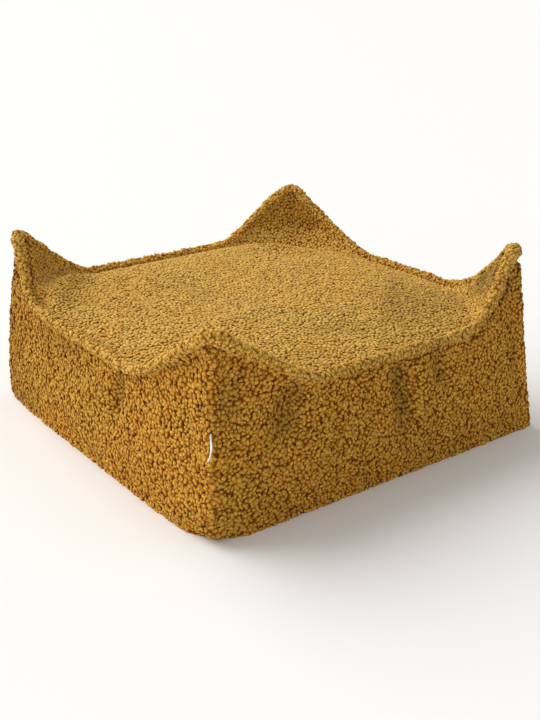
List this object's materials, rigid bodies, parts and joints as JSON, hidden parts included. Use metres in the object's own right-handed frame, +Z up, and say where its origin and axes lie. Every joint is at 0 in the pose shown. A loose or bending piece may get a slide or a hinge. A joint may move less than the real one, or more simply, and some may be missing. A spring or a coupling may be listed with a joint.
{
  "type": "floor pouf",
  "caption": "Square bead-filled floor pouf in teddy cloth, its top seam carried up into a pointed ear at each corner and edged with a thick roll.",
  "frame": {"origin": "middle of the base, on the floor", "axes": "+Z up, the front side faces -Y and the left side -X; the corner with the label is at -X, -Y"},
  "size_m": [0.6074, 0.6073, 0.2855],
  "materials": {
    "teddy": "matte",
    "teddy_roll": "matte",
    "ribbon": "matte"
  },
  "bodies": {
    "root": {"pouf_body": "teddy", "roll_front": "teddy_roll", "roll_right": "teddy_roll", "roll_back": "teddy_roll", "roll_left": "teddy_roll", "side_label": "ribbon"}
  },
  "joints": []
}
